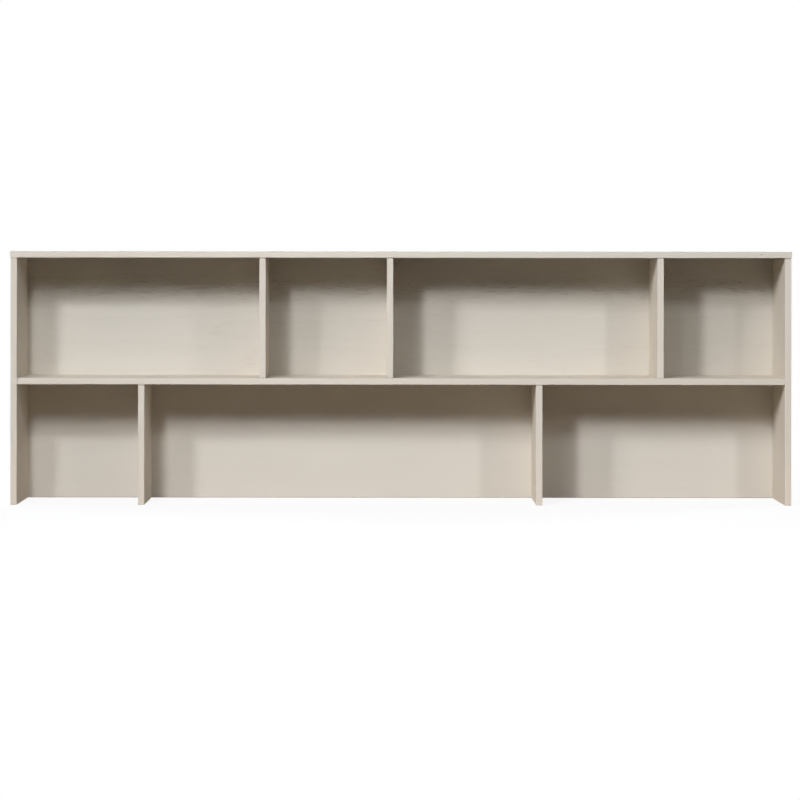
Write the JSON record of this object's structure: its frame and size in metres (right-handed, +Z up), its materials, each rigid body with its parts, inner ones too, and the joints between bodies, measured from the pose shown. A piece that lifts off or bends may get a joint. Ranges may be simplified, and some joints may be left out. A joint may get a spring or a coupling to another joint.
{
  "type": "hutch",
  "caption": "Wide, shallow open shelf unit with uneven bays above and below a long shelf, closed at the back and open below, made to stand on a dresser.",
  "frame": {"origin": "on the ground, below the middle of the bounding box", "axes": "+X to the right along the width, +Y to the back, +Z up; the open front faces -Y"},
  "size_m": [2.2, 0.23, 0.714],
  "materials": {
    "pine_board": "brushed pine, stained pale greige, matt lacquer",
    "back_board": "pine, stained pale greige, matt lacquer",
    "beech_dowel": "bare beech",
    "zinc_cam": "die-cast zinc, dull",
    "steel_bolt": "zinc-plated steel",
    "plastic_cap": "matt, coloured like the boards"
  },
  "bodies": {
    "root": {"top_panel": "pine_board", "left_side_panel": "pine_board", "right_side_panel": "pine_board", "middle_shelf": "pine_board", "upper_left_divider": "pine_board", "upper_centre_divider": "pine_board", "upper_right_divider": "pine_board", "lower_left_divider": "pine_board", "lower_right_divider": "pine_board", "upper_back_panel": "back_board", "lower_back_panel": "back_board", "upper_left_divider_dowels": "beech_dowel", "upper_centre_divider_dowels": "beech_dowel", "upper_right_divider_dowels": "beech_dowel", "lower_left_divider_dowels": "beech_dowel", "lower_right_divider_dowels": "beech_dowel", "left_top_dowels": "beech_dowel", "left_shelf_dowels": "beech_dowel", "right_top_dowels": "beech_dowel", "right_shelf_dowels": "beech_dowel", "top_cams": "zinc_cam", "shelf_cams": "zinc_cam", "top_cam_bolts": "steel_bolt", "shelf_cam_bolts": "steel_bolt", "top_cam_caps": "plastic_cap"}
  },
  "joints": []
}
